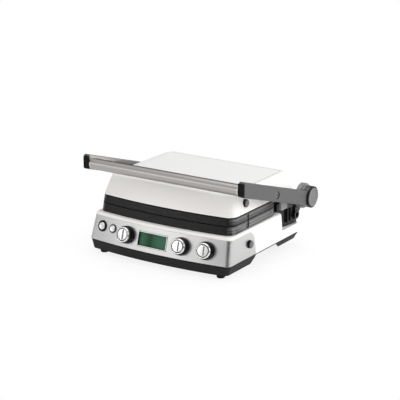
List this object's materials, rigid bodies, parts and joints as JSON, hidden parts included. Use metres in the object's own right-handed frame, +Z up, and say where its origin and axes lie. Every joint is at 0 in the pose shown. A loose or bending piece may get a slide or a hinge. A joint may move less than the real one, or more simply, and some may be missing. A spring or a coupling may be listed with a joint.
{
  "type": "electric contact grill",
  "caption": "Countertop contact grill: white tapered base with steel control panel, ridged plates and a floating lid on two hinged arms with a tube handle.",
  "frame": {"origin": "middle of the worktop footprint of the overall box, at the height of the rubber feet's undersides", "axes": "+X to the user's right, +Y from the control panel to the hinge, +Z up"},
  "size_m": [0.421, 0.3598, 0.2121],
  "materials": {
    "white_body": "smooth satin white",
    "steel": "brushed",
    "black_plastic": "fine satin black",
    "rubber": "matt",
    "screw": "plain bright",
    "screen": "glossy green display window",
    "board": "green board",
    "grey_plastic": "satin grey",
    "plate": "dark non-stick coating on cast aluminium",
    "element": "dull sheath",
    "reflector": "bright",
    "brass": "plain",
    "light_grey": "satin light grey",
    "ivory": "matt",
    "cap_silver": "fine brushed silver",
    "arm_grey": "satin metallic grey",
    "top_grey": "satin light grey"
  },
  "bodies": {
    "base": {"base_housing": "white_body", "control_panel": "steel", "base_pan": "black_plastic", "front_skirt": "black_plastic", "rear_skirt": "black_plastic", "rubber_feet": "rubber", "housing_screws": "screw", "screen_bezel": "black_plastic", "screen_window": "screen", "display_module": "board", "control_board": "board", "dial_encoders": "screw", "power_button_ring": "black_plastic", "select_button_ring": "grey_plastic", "button_switches": "board", "lower_plate": "plate", "lower_element": "element", "lower_reflector": "reflector", "lower_thermostat": "brass", "rear_bridge": "black_plastic", "hinge_tower_left": "black_plastic", "hinge_tower_right": "black_plastic", "hinge_drum_left": "light_grey", "hinge_drum_right": "light_grey", "hinge_pins": "screw", "terminal_block": "ivory", "cord_gland": "black_plastic"},
    "tray": {"drip_tray": "black_plastic"},
    "dial_left": {"dial_left_skirt": "black_plastic", "dial_left_cap": "cap_silver"},
    "dial_middle": {"dial_middle_skirt": "black_plastic", "dial_middle_cap": "cap_silver"},
    "dial_right": {"dial_right_skirt": "black_plastic", "dial_right_cap": "cap_silver"},
    "power_button": {"power_button": "cap_silver"},
    "select_button": {"select_button": "cap_silver"},
    "lower_release": {"lower_release_button": "grey_plastic"},
    "upper_release": {"upper_release_button": "grey_plastic"},
    "arms": {"arm_left": "arm_grey", "arm_right": "arm_grey", "arm_liner_left": "steel", "arm_liner_right": "steel", "nose_cap_left": "black_plastic", "nose_cap_right": "black_plastic", "handle_tube": "steel", "handle_plugs": "grey_plastic", "hub_rings": "black_plastic", "hub_disc_left": "steel", "hub_disc_right": "steel", "lid_pivot_screws": "screw", "release_lever_pin": "screw"},
    "release_lever": {"hinge_release_lever": "light_grey"},
    "lid": {"lid_shell": "white_body", "lid_top_plate": "top_grey", "lid_frame": "black_plastic", "lid_pivot_bosses": "black_plastic", "upper_plate": "plate", "upper_element": "element", "upper_reflector": "reflector", "upper_thermostat": "brass"}
  },
  "joints": [
    {"name": "lid_open", "type": "hinge", "parent": "base", "child": "arms", "pos_m": [0, 0.15086, 0.111], "axis": [-1, 0, 0], "range_deg": [0, 180]},
    {"name": "lid_float", "type": "hinge", "parent": "arms", "child": "lid", "pos_m": [0, 0.00086, 0.1521], "axis": [1, 0, 0], "range_deg": [-0.6, 0.6]},
    {"name": "lever_turn", "type": "hinge", "parent": "arms", "child": "release_lever", "pos_m": [0.1895, 0.05836, 0.12231], "axis": [-1, 0, 0], "range_deg": [0, 20], "stiffness_Nm_per_rad": 0.2},
    {"name": "dial_left_turn", "type": "hinge", "parent": "base", "child": "dial_left", "pos_m": [-0.075, -0.15629, 0.0575], "axis": [0.0625, 0.9565, -0.2851], "range_deg": [0, 270]},
    {"name": "dial_middle_turn", "type": "hinge", "parent": "base", "child": "dial_middle", "pos_m": [0.0655, -0.15687, 0.0575], "axis": [-0.0546, 0.9569, -0.2852], "range_deg": [0, 270]},
    {"name": "dial_right_turn", "type": "hinge", "parent": "base", "child": "dial_right", "pos_m": [0.1245, -0.15198, 0.0575], "axis": [-0.1038, 0.9532, -0.2841], "range_deg": [0, 270]},
    {"name": "power_press", "type": "slide", "parent": "base", "child": "power_button", "axis": [0.1222, 0.9512, -0.2835], "range_m": [0, 0.0012], "stiffness_N_per_m": 400},
    {"name": "select_press", "type": "slide", "parent": "base", "child": "select_button", "axis": [0.0967, 0.9538, -0.2843], "range_m": [0, 0.0012], "stiffness_N_per_m": 400},
    {"name": "lower_release_press", "type": "slide", "parent": "base", "child": "lower_release", "axis": [-1, 0, 0], "range_m": [0, 0.003], "stiffness_N_per_m": 600},
    {"name": "upper_release_press", "type": "slide", "parent": "lid", "child": "upper_release", "axis": [-1, 0, 0], "range_m": [0, 0.003], "stiffness_N_per_m": 600},
    {"name": "tray_slide", "type": "slide", "parent": "base", "child": "tray", "axis": [0, 1, 0], "range_m": [0, 0.14]}
  ]
}
